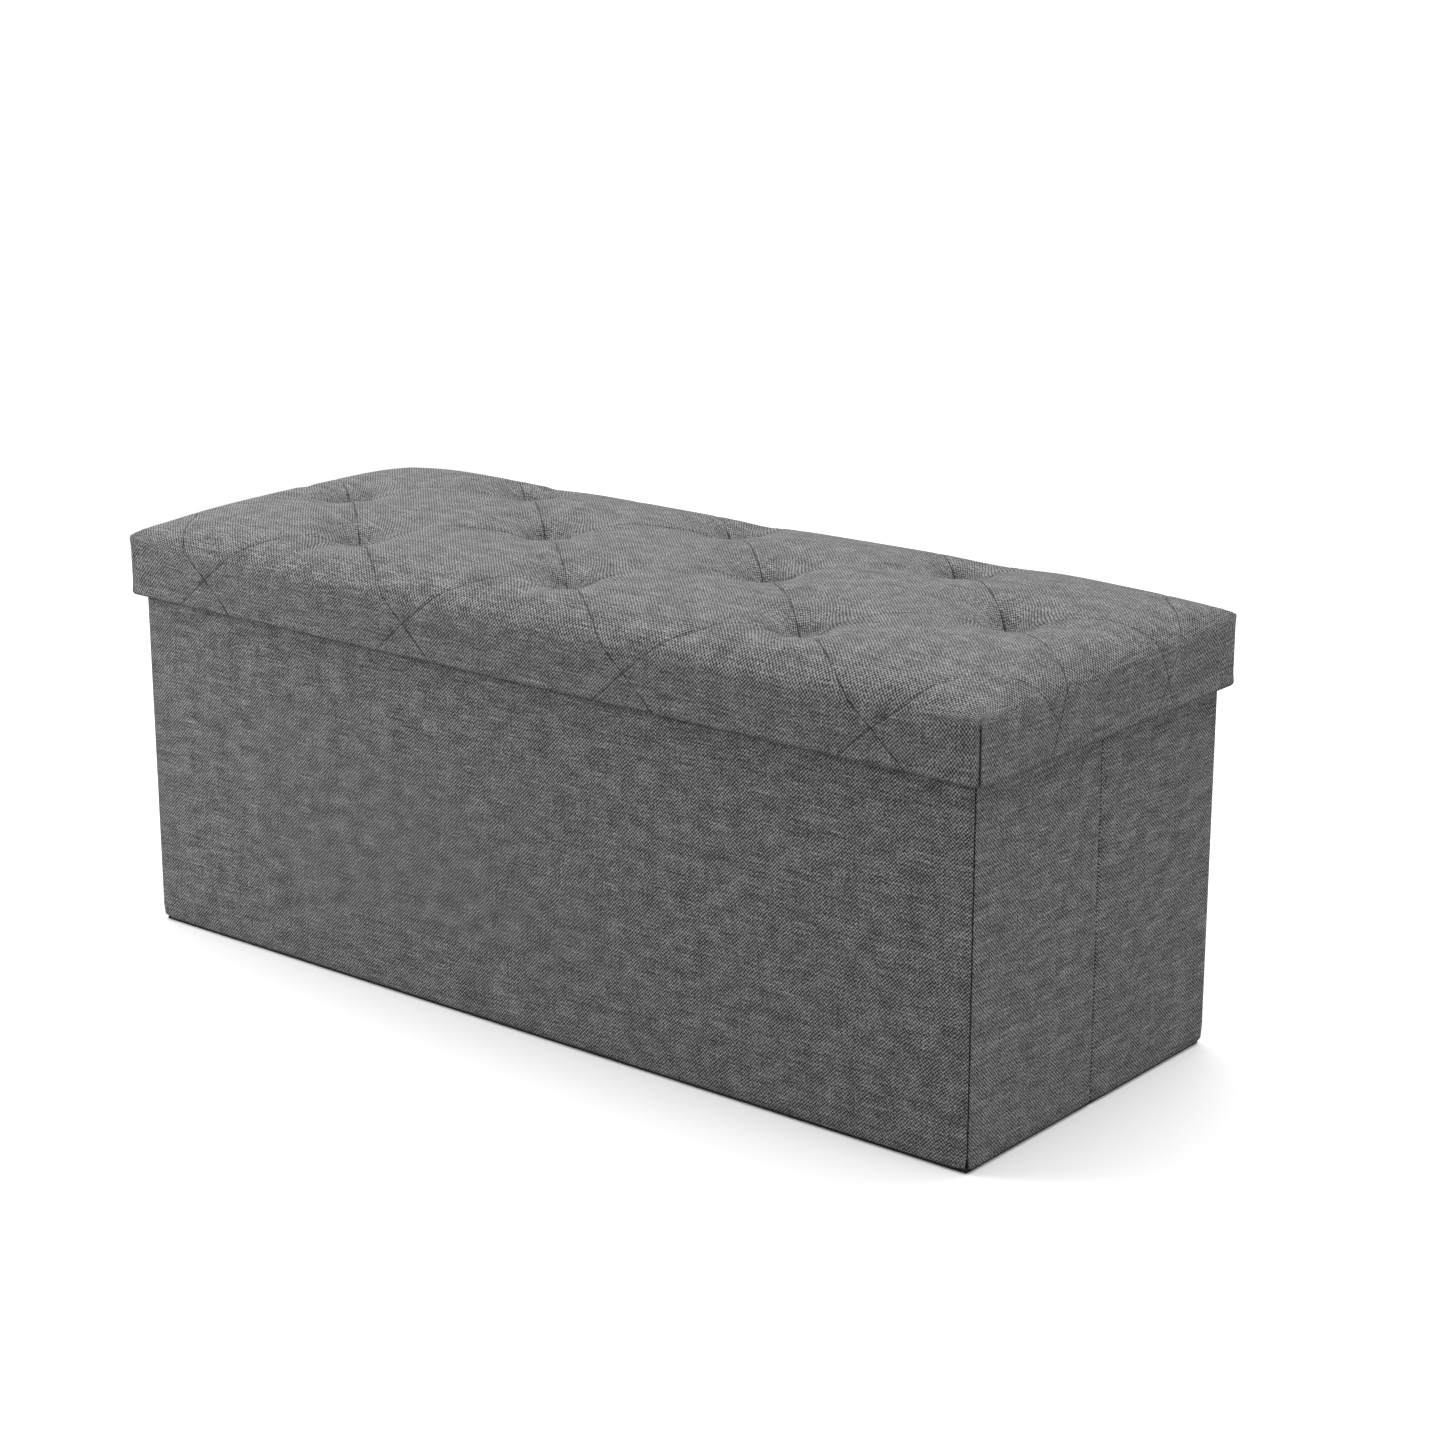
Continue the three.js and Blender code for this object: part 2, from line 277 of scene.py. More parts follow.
def map_values(tree, label):
    """The two values of a face-corner map."""
    source = tree.nodes.new("ShaderNodeUVMap")
    source.uv_map = label
    split = tree.nodes.new("ShaderNodeSeparateXYZ")
    tree.links.new(source.outputs["UV"], split.inputs[0])
    return source.outputs["UV"], split.outputs["X"], split.outputs["Y"]


def make_plain_weave():
    group, given, result = node_group(
        "plain_weave",
        [("Cloth", "NodeSocketVector", None), ("Threads per Metre", "NodeSocketFloat", 575.0),
         ("Weave Contrast", "NodeSocketFloat", 0.8), ("Slubs", "NodeSocketFloat", 1.0)],
        [("Shade", "NodeSocketFloat"), ("Height", "NodeSocketFloat")])
    cloth = given.outputs["Cloth"]
    split = group.nodes.new("ShaderNodeSeparateXYZ")
    group.links.new(cloth, split.inputs[0])
    turns = math_node(group, "MULTIPLY", given.outputs["Threads per Metre"], math.pi)
    wander_u = stretched_noise(group, cloth, 10.0, 140.0)
    wander_v = stretched_noise(group, cloth, 140.0, 10.0)
    phase_u = math_node(group, "MULTIPLY_ADD", wander_u, 4.0,
                        math_node(group, "MULTIPLY", split.outputs["X"], turns))
    phase_v = math_node(group, "MULTIPLY_ADD", wander_v, 4.0,
                        math_node(group, "MULTIPLY", split.outputs["Y"], turns))
    over = math_node(group, "MULTIPLY",
                     math_node(group, "SINE", phase_u), math_node(group, "SINE", phase_v))
    crisp = math_node(group, "MAXIMUM",
                      math_node(group, "MINIMUM", math_node(group, "MULTIPLY", over, 2.5), 1.0), -1.0)
    crossing = math_node(group, "MULTIPLY", crisp, given.outputs["Weave Contrast"])
    weft = stretched_noise(group, cloth, 24.0, 640.0, 3.0)
    slub = fade(group, stretched_noise(group, cloth, 38.0, 520.0, 1.0), 0.13, 0.22)
    warp = stretched_noise(group, cloth, 640.0, 30.0, 2.0)
    patch = stretched_noise(group, cloth, 50.0, 70.0, 3.0)
    fleck = stretched_noise(group, cloth, 400.0, 520.0, 1.0)
    streaks = math_node(group, "MULTIPLY", slub, 0.35)
    for noise, share in ((weft, 1.5), (warp, 0.8), (patch, 1.0), (fleck, 2.2)):
        streaks = math_node(group, "MULTIPLY_ADD", noise, share, streaks)
    slubs = math_node(group, "MULTIPLY", streaks, given.outputs["Slubs"])
    shade = math_node(group, "ADD", math_node(group, "ADD", crossing, slubs), 1.0)
    group.links.new(math_node(group, "MAXIMUM", shade, 0.1), result.inputs["Shade"])
    group.links.new(math_node(group, "MULTIPLY_ADD", slub, 0.8, over), result.inputs["Height"])
    return group


plain_weave = make_plain_weave()
cover_tone = (0.0830, 0.0823, 0.0819)


def cover_cloth(name, contrast, slubs, seam_mask=None):
    """Cover cloth with painted shade in its nooks, darker wherever other surfaces lie close. seam_mask
    gives a dark line and a groove, where it is sewn.
    """
    material = bpy.data.materials.new(name)
    material.use_nodes = True
    tree = material.node_tree
    shader = tree.nodes["Principled BSDF"]
    shader.inputs["Roughness"].default_value = 0.9
    shader.inputs["Specular IOR Level"].default_value = 0.22
    shader.inputs["Sheen Weight"].default_value = 0.08
    shader.inputs["Sheen Roughness"].default_value = 0.5
    weave = tree.nodes.new("ShaderNodeGroup")
    weave.node_tree = plain_weave
    weave.inputs["Weave Contrast"].default_value = contrast
    weave.inputs["Slubs"].default_value = slubs
    tree.links.new(map_values(tree, "cloth")[0], weave.inputs["Cloth"])
    shade, height = weave.outputs["Shade"], weave.outputs["Height"]
    if seam_mask is not None:
        line, groove = seam_mask(tree)
        kept = math_node(tree, "MULTIPLY_ADD", line, -0.92, 1.0)
        shade = math_node(tree, "MULTIPLY", shade, kept)
        height = math_node(tree, "MULTIPLY_ADD", groove, -3.0, height)
    # Painted shade: an occlusion test darkens the colour within 12 mm of other surfaces, such as under
    # the hem, in the tufts, creases and corners.
    painted_nook_shade = tree.nodes.new("ShaderNodeAmbientOcclusion")
    painted_nook_shade.samples = 4
    painted_nook_shade.inputs["Distance"].default_value = 0.012
    shade = math_node(tree, "MULTIPLY", shade, fade(tree, painted_nook_shade.outputs["AO"], 0.35, 0.95, 0.3, 1.0))
    dye_and_raise(tree, cover_tone, shade, height, 0.0004)
    return material


# ---- Padded lid cover ----------------------------------------------------------------------------
# One cut of cover cloth over foam, pulled down at ten tufts and sewn along the diagonals between
# them. It turns down over the skirt to the hem, where it is folded in and stapled, and it is seamed
# at its four corners.
lid_low, lid_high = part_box("lid_cover")
lid_half_x, lid_half_y = lid_high.x, lid_high.y
hem_height = lid_low.z
tie_boxes = [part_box(f"tuft_tie_{number}") for number in range(1, 11)]
tufts = np.array([[(low.x + high.x) / 2, (low.y + high.y) / 2] for low, high in tie_boxes])
pitch_x, pitch_y = tufts[:, 0].max() / 3, tufts[:, 1].max()
tuft_height = tie_boxes[0][1].z + 0.0005
rim_height = 0.3985
crown_rise = 0.0205
rear_fullness = 0.006         # the right rear corner is stuffed a little fuller
edge_radius_x, edge_radius_y = 0.014, 0.018
corner_reach = 0.07           # the padded edge gets sharper over this length, up to a corner
corner_sharpness = 0.62
dimple_radius = 0.016
funnel_radius = 0.0195
funnel_steepness = 3.4
pleat_depth = 0.0011
pleats_per_tuft = 9
pleat_ring, pleat_spread = 0.017, 0.010
hem_turn_in = 0.0045
hem_corner_radius = 0.006
plan_corner_radius = 0.003
hem_flare, hem_flare_height = 0.0008, 0.010
skirt_drop_x = rim_height - edge_radius_x - hem_height + hem_turn_in
skirt_drop_y = rim_height - edge_radius_y - hem_height + hem_turn_in
end_strip = 0.012             # the weft turns this far in from the ends
corner_width = 0.006
corner_tuck = 0.0006          # the corner seams pull in this far
seam_crossing_y = 0.103       # flat length from the last tufts to the seam crossings in front
seam_crossing_x = 0.138
end_gather = 0.39             # the seams draw together towards the ends
valley_depth, valley_width = 0.0012, 0.006
tuft_strain_radius = 0.035    # the seams are pulled deeper this near to a tuft
gather_length, gather_radius = 0.018, 0.018   # extra cloth drawn down into each tuft


def from_rim(x, y):
    """1 well inside the lid's outline and 0 on it."""
    return np.clip((1 - np.abs(x / lid_half_x) ** 10) * (1 - np.abs(y / lid_half_y) ** 4), 0, 1)


def pad_height(x, y):
    """Top of the stuffed pad before the cloth settles: crowned, and pulled down at the tufts."""
    fuller = rear_fullness * np.clip(x / lid_half_x, 0, 1) * (0.5 + 0.5 * y / lid_half_y)
    height = rim_height + crown_rise * from_rim(x, y) + fuller
    away = np.min([np.hypot(x - tx, y - ty) for tx, ty in tufts], axis=0)
    pull = 1 / (1 + (away / dimple_radius) ** 2) ** 1.6
    return height + pull * (tuft_height - height)


def edge_drop(x, y):
    """Depth of the turned edge, which is soft along the sides and sharp at the corners."""
    near_corner = (np.clip((np.abs(x) - lid_half_x + corner_reach) / corner_reach, 0, 1)
                   * np.clip((np.abs(y) - lid_half_y + corner_reach) / corner_reach, 0, 1))
    soft = np.where(lid_half_x - np.abs(x) < lid_half_y - np.abs(y), edge_radius_x, edge_radius_y)
    return soft * (1 - corner_sharpness * near_corner)


def seam_fields(flat):
    """Two fields over the cloth; the sewn diagonals lie at their odd whole numbers."""
    u, v = np.abs(flat[..., 0]), np.abs(flat[..., 1])
    past_tufts = np.clip(u - 3 * pitch_x, 0, None) / seam_crossing_x
    scaled_u = np.minimum(u / pitch_x, 3) + past_tufts
    near_middle = np.clip((lid_half_y - v) / 0.05, 0, 1)
    v = v * (1 + end_gather * np.clip(past_tufts, 0, 1.3) * near_middle)
    over_edge = pitch_y + seam_crossing_y
    scaled_v = (np.minimum(v, pitch_y) / pitch_y
                + np.clip(v - pitch_y, 0, seam_crossing_y) / seam_crossing_y
                + np.clip(v - over_edge, 0, None) / pitch_y)
    scaled_u = np.copysign(scaled_u, flat[..., 0])
    scaled_v = np.copysign(scaled_v, flat[..., 1])
    return np.stack([scaled_u + scaled_v, scaled_u - scaled_v], -1)


def seam_nearness(fields, width):
    """1 on a sewn diagonal and 0 from width away."""
    spacing = pitch_x * pitch_y / math.hypot(pitch_x, pitch_y)
    away = np.min(np.abs((fields + 2) % 2 - 1), axis=-1) * spacing
    return np.clip(1 - away / width, 0, 1)


def pad_grid():
    across = stations([(3 * pitch_x, 39), (lid_half_x - edge_radius_x, 9)], edge_radius_x,
                      rim_height - edge_radius_x - hem_height, 5, hem_turn_in)
    along = stations([(pitch_y, 12), (lid_half_y - edge_radius_y, 6)], edge_radius_y,
                     rim_height - edge_radius_y - hem_height, 5, hem_turn_in)
    return laid_cloth(across, along, pad_height, hem_height, edge_drop)


def grid_normals(points):
    across = np.gradient(points, axis=0)
    along = np.gradient(points, axis=1)
    normal = np.cross(across, along)
    length = np.linalg.norm(normal, axis=-1, keepdims=True)
    return np.where(np.isnan(length) | (length < 1e-12), 0.0, normal / np.maximum(length, 1e-12))


settling_frames = 20
inward_allowed = 0.0005       # the foam stops the cloth from sinking in further


def settle_cloth(points, held, pressure, furthest):
    """Inflates the cloth against its sewn points with a short simulation; gives its new points."""
    whole = ~np.isnan(points[..., 2])
    made = cloth_object("settling_cloth", points, {})
    group = made.vertex_groups.new(name="held")
    for index, weight in enumerate(held[whole]):
        group.add([index], float(weight), "REPLACE")
    modifier = made.modifiers.new("cloth", "CLOTH")
    settings = modifier.settings
    settings.quality = 6
    settings.mass = 0.2
    settings.tension_stiffness = 25
    settings.compression_stiffness = 25
    settings.shear_stiffness = 12
    settings.bending_stiffness = 4
    settings.vertex_group_mass = "held"
    settings.pin_stiffness = 6
    settings.shrink_min = -0.004
    settings.use_pressure = True
    settings.uniform_pressure_force = pressure
    settings.effector_weights.gravity = 0
    modifier.collision_settings.use_collision = False
    for number in range(1, settling_frames + 1):
        bpy.context.scene.frame_set(number)
    evaluated = made.evaluated_get(bpy.context.evaluated_depsgraph_get())
    settled = np.empty(len(made.data.vertices) * 3)
    evaluated.data.vertices.foreach_get("co", settled)
    bpy.context.scene.frame_set(1)
    mesh = made.data
    bpy.data.objects.remove(made)
    bpy.data.meshes.remove(mesh)
    moved = settled.reshape(-1, 3) - points[whole]
    outward = grid_normals(points)[whole]
    inward = np.minimum((moved * outward).sum(1, keepdims=True) + inward_allowed, 0)
    moved = moved - inward * outward
    length = np.linalg.norm(moved, axis=1, keepdims=True)
    moved *= np.minimum(1, furthest / np.maximum(length, 1e-9))
    out = points.copy()
    out[whole] += moved
    return out


def between_rows(grid, parts):
    """Puts parts - 1 smooth rows between the rows of a grid, leaving cut corners empty."""
    ahead, behind, further = np.roll(grid, -1, 0), np.roll(grid, 1, 0), np.roll(grid, -2, 0)
    behind[0] = np.nan
    further[-2:] = np.nan
    behind = np.where(np.isnan(behind), 2 * grid - ahead, behind)
    further = np.where(np.isnan(further), 2 * ahead - grid, further)
    rows = [grid]
    for t in np.arange(1, parts) / parts:
        weights = (-t**3 / 2 + t**2 - t / 2, 1.5 * t**3 - 2.5 * t**2 + 1,
                   -1.5 * t**3 + 2 * t**2 + t / 2, t**3 / 2 - t**2 / 2)
        rows.append(sum(w * g for w, g in zip(weights, (behind, grid, ahead, further))))
    fine = np.stack(rows, 1).reshape(-1, *grid.shape[1:])
    return fine[:(len(grid) - 1) * parts + 1]


def finer(grid, parts):
    return between_rows(between_rows(grid, parts).swapaxes(0, 1), parts).swapaxes(0, 1)


tie_reach = 0.004             # the ties hold the cloth this far round them
seam_hold, seam_hold_width = 0.05, 0.007
settling_pressure, furthest_settled = 3.0, 0.005
finer_parts = 3
pad_points, pad_flat, pad_way_down = pad_grid()
pad_seams = seam_fields(pad_flat)
on_tuft = np.min([np.hypot(pad_flat[..., 0] - tx, pad_flat[..., 1] - ty) for tx, ty in tufts],
                 axis=0) < tie_reach
held = seam_hold * seam_nearness(pad_seams, seam_hold_width)
held = np.where(on_tuft | (pad_way_down > 0), 1.0, held)
pad_points = settle_cloth(pad_points, held, settling_pressure, furthest_settled)
pad_points = finer(pad_points, finer_parts)
pad_flat = finer(pad_flat, finer_parts)
pad_way_down = finer(pad_way_down[..., None], finer_parts)[..., 0]
pad_seams = seam_fields(pad_flat)

to_tufts = np.stack([pad_points[..., :2] - tuft for tuft in tufts])
away = np.linalg.norm(to_tufts, axis=-1)
nearest = np.argmin(np.where(np.isnan(away), 1.0, away), axis=0)[None]
away = np.take_along_axis(away, nearest, 0)[0]
heading = np.arctan2(*[np.take_along_axis(to_tufts[..., axis], nearest, 0)[0] for axis in (1, 0)])
pull = 1 / (1 + (away / funnel_radius) ** funnel_steepness)
pad_points[..., 2] += pull * np.minimum(tuft_height - pad_points[..., 2], 0)
pleats = np.cos(pleats_per_tuft * heading + 2.1 * nearest[0])
pleats = pleats * np.exp(-((away - pleat_ring) / pleat_spread) ** 2)
pad_points[..., 2] += pleat_depth * pleats
pucker = 0.65 + 0.35 * np.sin(pad_flat[..., 0] * 640) * np.sin(pad_flat[..., 1] * 710)
valley = valley_depth * seam_nearness(pad_seams, valley_width) ** 2 * pucker
near_tuft = np.exp(-(away / tuft_strain_radius) ** 2)
valley = valley * (1 + 1.6 * near_tuft) * np.clip(1 - 3 * pad_way_down, 0, 1)
pad_points = pad_points - grid_normals(pad_points) * valley[..., None]


def corner_pull(past_x, past_y, allowed=True):
    """Which points are in a square corner, and the factor that draws each one in to a round one."""
    corner = (past_x > 0) & (past_y > 0) & allowed
    factor = np.maximum(past_x, past_y) / np.maximum(np.hypot(past_x, past_y), 1e-9)
    return corner, factor


def round_corners(points):
    """Rounds the lid's upright corners in plan, and the corners of the skirt at the hem."""
    x, y, z = points[..., 0], points[..., 1], points[..., 2]
    past_x = np.abs(x) - (lid_half_x - plan_corner_radius)
    past_y = np.abs(y) - (lid_half_y - plan_corner_radius)
    corner, pull = corner_pull(past_x, past_y)
    round_x = np.where(corner, np.copysign(lid_half_x - plan_corner_radius + past_x * pull, x), x)
    round_y = np.where(corner, np.copysign(lid_half_y - plan_corner_radius + past_y * pull, y), y)
    to_corner = np.hypot(lid_half_x - np.abs(x), lid_half_y - np.abs(y))
    lifted = np.clip(hem_corner_radius - to_corner, 0, None) * 0.42
    near_hem = np.clip(1 - (z - hem_height) / (2 * hem_corner_radius), 0, 1)
    return np.stack([round_x, round_y, z + lifted * near_hem], -1)


on_front = np.abs(pad_flat[..., 1]) > pad_flat[..., 1].max() - skirt_drop_y
from_corner = np.where(on_front, lid_half_x - np.abs(pad_points[..., 0]),
                       lid_half_y - np.abs(pad_points[..., 1]))
sewn_in = np.clip(1 - from_corner / corner_width, 0, 1) ** 2 * np.clip(pad_way_down * 8, 0, 1)
pad_points = round_corners(pad_points)
pad_points[..., :2] -= corner_tuck * sewn_in[..., None] * np.sign(pad_points[..., :2])
hem_share = np.clip(1 - (pad_points[..., 2] - hem_height) / hem_flare_height, 0, 1) ** 2
pad_points[..., :2] *= 1 + hem_flare * hem_share[..., None] / (lid_half_x, lid_half_y)
toward_tuft = np.stack([np.cos(heading), np.sin(heading)], -1)
gathered = gather_length * (away / gather_radius) ** 2 * np.exp(-(away / gather_radius) ** 1.5)
gathered = np.nan_to_num(gathered)[..., None] * np.nan_to_num(toward_tuft)
lid_pad = cloth_object("lid_pad_cover", pad_points, {
    "cloth": pad_flat + gathered,
    "seams": pad_seams,
    "corners": np.stack([from_corner, pad_way_down], -1),
}, turned=np.abs(pad_flat[:-1, :-1, 0]) > pad_flat[..., 0].max() - skirt_drop_x - end_strip)
weld(lid_pad, 0.0005)


def sewn_seams(tree):
    """Dark line and groove of the tufting seams and of the corner seams."""
    spacing = pitch_x * pitch_y / math.hypot(pitch_x, pitch_y)
    _, first, second = map_values(tree, "seams")
    away = [math_node(tree, "MULTIPLY",
                      math_node(tree, "PINGPONG", math_node(tree, "ADD", field, 1.0), 1.0), spacing)
            for field in (first, second)]
    nearest = math_node(tree, "MINIMUM", *away)
    cloth = map_values(tree, "cloth")[0]
    faint = fade(tree, stretched_noise(tree, cloth, 30.0, 30.0), -0.16, 0.04, 0.3, 1.0)
    open_line, closed_line = [fade(tree, distance, 0.0003, 0.0009, depth, 0.0)
                              for distance, depth in zip(away, (1.0, 0.75))]
    line = math_node(tree, "MULTIPLY", math_node(tree, "MAXIMUM", open_line, closed_line), faint)
    _, from_corner_seam, way_down = map_values(tree, "corners")
    side = fade(tree, way_down, 0.02, 0.12)
    corner = math_node(tree, "MULTIPLY", fade(tree, from_corner_seam, 0.0006, 0.0022, 1.0, 0.0), side)
    return (math_node(tree, "MAXIMUM", line, corner),
            math_node(tree, "MAXIMUM", fade(tree, nearest, 0.0, 0.0025, 1.0, 0.0), corner))


lid_pad.data.materials.append(cover_cloth("cover_cloth_tufted", 1.0, 1.6, sewn_seams))
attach(lid_pad, "lid")
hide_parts("lid_cover")

# ---- Lid foam ------------------------------------------------------------------------------------
# One block of pale cut polyurethane foam, glued on the lid board. The ties pull the cover down into
# it, so its top takes the shape of the tufted cloth.
foam_gap = 0.0036
tuft_hollow, tuft_hollow_radius = 2.2, 0.027   # the foam lies this much deeper round a tie
foam_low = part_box("lid_foam")[0].z
every = slice(None, None, finer_parts)
foam_top = pad_points[every, every].copy()
foam_top[..., :2] *= 1 - foam_gap / lid_half_y
hollow = tuft_hollow / (1 + (away[every, every] / tuft_hollow_radius) ** 3)
foam_top[..., 2] -= foam_gap * (1 + hollow)
foam_top[pad_way_down[every, every] > 1e-6] = np.nan
lid_foam = cloth_object("lid_foam_block", foam_top, {})
shape = bmesh.new()
shape.from_mesh(lid_foam.data)
rim = [edge for edge in shape.edges if edge.is_boundary]
sides = bmesh.ops.extrude_edge_only(shape, edges=rim)["geom"]
for item in sides:
    if isinstance(item, bmesh.types.BMVert):
        item.co.z = foam_low
bmesh.ops.holes_fill(shape, edges=[item for item in sides if isinstance(item, bmesh.types.BMEdge)])
bmesh.ops.recalc_face_normals(shape, faces=shape.faces)
shape.to_mesh(lid_foam.data)
shape.free()


def mottled_material(name, tone, roughness, grain, depth, spread):
    """A matt material with grain of a given size, in metres, and soft patches of tone."""
    material = bpy.data.materials.new(name)
    material.use_nodes = True
    tree = material.node_tree
    tree.nodes["Principled BSDF"].inputs["Roughness"].default_value = roughness
    place = tree.nodes.new("ShaderNodeTexCoord").outputs["Object"]
    fine = stretched_noise(tree, place, 1 / grain, 1 / grain, 3.0, 1 / grain)
    broad = stretched_noise(tree, place, 14.0, 14.0, 3.0, 14.0)
    shade = math_node(tree, "MULTIPLY_ADD", fine, 2 * spread,
                      math_node(tree, "MULTIPLY_ADD", broad, spread, 1.0))
    dye_and_raise(tree, tone, shade, fine, depth)
    return material


lid_foam.data.materials.append(
    mottled_material("cut_foam", (0.78, 0.74, 0.60), 0.9, 0.0012, 0.0006, 0.12))
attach(lid_foam, "lid")
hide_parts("lid_foam")

# ---- Fibreboards and tufting hardware ------------------------------------------------------------
# Pressed brown fibreboard stiffens the lid, the skirts, the walls and the base. Waxed thread ties
# and moulded washers hold the tufts down through the lid board.
fibreboard = mottled_material("pressed_fibreboard", (0.24, 0.155, 0.085), 0.75, 0.0018, 0.0002, 0.2)
waxed_thread = mottled_material("waxed_thread", (0.05, 0.05, 0.052), 0.5, 0.0006, 0.0002, 0.3)
moulded_black = mottled_material("moulded_plastic", (0.02, 0.02, 0.021), 0.35, 0.0008, 0.00003, 0.1)


def dress(node, material):
    """Puts one material on a CAD part that is shown as it is."""
    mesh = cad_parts[node].data
    mesh.materials.clear()
    mesh.materials.append(material)


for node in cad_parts:
    if node.endswith("_board") or node.startswith("lid_skirt"):
        dress(node, fibreboard)
    elif node.startswith("tuft_tie"):
        dress(node, waxed_thread)
    elif node.startswith("tuft_washer"):
        dress(node, moulded_black)

# ---- Wall covers ---------------------------------------------------------------------------------
# Each wall panel is a fibreboard wrapped in cover cloth, mitred at the corners of the box. The two
# halves of an end meet at the crease, and the cloth is folded back under the lining at every edge.
wall_radius = 0.0015
wall_foot_radius = 0.007
wall_turn_in = 0.005
wall_step, crease_step = 0.012, 0.006
ripple_depth = 0.00015
edge_ease = 0.0003            # the cloth eases down this much towards the edges
lining_thickness = 0.0008
lining_gap = 0.0003
crease_dips = {"right_rear": 0.0012, "left_rear": 0.0012, "right_front": 0.0003, "left_front": 0.0003}
crease_reach = 0.020


def even_stops(half, step):
    return [(half, max(2, round(half / step)))]


def panel_place(name):
    """A wall panel: middle of its outer face, its right and outward directions, and its size."""
    low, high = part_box(f"{name}_cover")
    size = high - low
    if name in ("front", "rear"):
        outward = Vector((0, -1 if name == "front" else 1, 0))
        width, depth = size.x, size.y
    else:
        outward = Vector((-1 if name.startswith("left") else 1, 0, 0))
        width, depth = size.y, size.x
    right = Vector((-outward.y, outward.x, 0))
    return (low + high) / 2 + outward * depth / 2, right, outward, width, depth, size.z


def wall_cover(name, body, mitres, number):
    """A wrapped wall panel; mitres says which of its left and right edges are mitred."""
    face, right, outward, width, depth, height = panel_place(name)
    half_u, half_v = width / 2, height / 2
    side = depth - lining_thickness - lining_gap
    crease_side = 1 if mitres == (1, 0) else -1
    dip = crease_dips.get(name, 0.0)

    def surface(x, y):
        inside = (1 - np.abs(x / half_u) ** 8) * (1 - np.abs(y / half_v) ** 8)
        ripple = (np.sin(9 * x + 5 * y + number) + 0.6 * np.sin(17 * x - 11 * y + 2 * number)
                  + 0.5 * np.sin(31 * y + 3 * number))
        at_crease = np.clip(1 - (half_u - crease_side * x) / crease_reach, 0, 1)
        return ripple_depth * ripple * inside - dip * at_crease ** 2 - edge_ease * (1 - inside)

    across_step = crease_step if dip else wall_step
    across = stations(even_stops(half_u - wall_radius, across_step), wall_radius,
                      side - wall_radius, 2, wall_turn_in)
    along = stations(even_stops(half_v - wall_radius, wall_step), wall_radius,
                     side - wall_radius, 2, wall_turn_in)
    points, flat, _ = laid_cloth(across, along, surface, -side, lambda x, y: wall_radius)
    x, y, z = points[..., 0], points[..., 1], points[..., 2]
    past_y = -y - (half_v - wall_foot_radius)
    for sign, mitred in zip((-1, 1), mitres):
        past_x = sign * x - (half_u - wall_foot_radius)
        corner, pull = corner_pull(past_x, past_y, bool(mitred))
        x = np.where(corner, sign * (half_u - wall_foot_radius + past_x * pull), x)
        y = np.where(corner, -(half_v - wall_foot_radius + past_y * pull), y)
    x = x + np.clip(-z, 0, None) * (mitres[0] * (half_u - x) - mitres[1] * (half_u + x)) / width
    world = (np.array(face) + x[..., None] * np.array(right)
             + y[..., None] * np.array((0, 0, 1)) + z[..., None] * np.array(outward))
    made = cloth_object(f"{name}_wall_cover", world, {"cloth": flat + 1.7 * number})
    weld(made, 0.00005)
    made.data.materials.append(wall_cloth)
    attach(made, body)
    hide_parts(f"{name}_cover")


wall_cloth = cover_cloth("cover_cloth_walls", 1.2, 1.9)
wall_panels = {
    "front": ("front_wall", (1, 1)),
    "rear": ("rear_wall", (1, 1)),
    "right_rear": ("right_rear_end", (0, 1)),
    "right_front": ("right_front_end", (1, 0)),
    "left_front": ("left_front_end", (0, 1)),
    "left_rear": ("left_rear_end", (1, 0)),
}
for number, (name, (body, mitres)) in enumerate(wall_panels.items()):
    wall_cover(name, body, mitres, number)

# ---- Crease strips -------------------------------------------------------------------------------
# The cover cloth runs on across the crease of each end, and is the hinge that its halves fold on.
# The strip lies down in the gap between the two boards, with its edges glued to them.
crease_half_width, crease_edge, crease_depth = 0.0038, 0.0012, 0.0030
strip_half = crease_half_width + crease_edge
strip_bulge = 0.0005
for side_name, sign in (("right", 1), ("left", -1)):
    low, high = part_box(f"{side_name}_front_cover")
    outer = high.x if sign > 0 else low.x
    across = np.linspace(-strip_half, strip_half, 11)
    upright = np.linspace(low.z + 0.003, high.z - 0.0008, 31)
    v, w = np.meshgrid(across, upright, indexing="ij")
    bend = np.clip(v / crease_half_width, -1, 1)
    valley = crease_depth + strip_bulge * np.cos(bend * math.pi / 2)
    strip_points = np.stack([outer - sign * valley, sign * v, w], -1)
    strip = cloth_object(f"{side_name}_crease_strip", strip_points,
                         {"cloth": np.stack([v + 3.1, w + sign], -1)})
    strip.data.materials.append(wall_cloth)
    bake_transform(strip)

# ---- Corner strips -------------------------------------------------------------------------------
# A strip of cover cloth closes each corner of the box behind the mitres, close to the line that the
# walls turn about. Its middle crosses the gap, and its two edges are glued under the covers.
corner_depth, corner_leg, corner_half_gap = 0.0020, 0.0046, 0.0009
strip_path = [(corner_depth + corner_leg, -1), (corner_depth + corner_leg / 2, -1),
              (corner_depth, -1), (corner_depth, 0), (corner_depth, 1),
              (corner_depth + corner_leg / 2, 1), (corner_depth + corner_leg, 1)]
deep, across = np.array(strip_path).T
across = across * corner_half_gap
steps = np.hypot(np.diff(deep), np.diff(across))
along = np.concatenate([[0.0], np.cumsum(steps)])
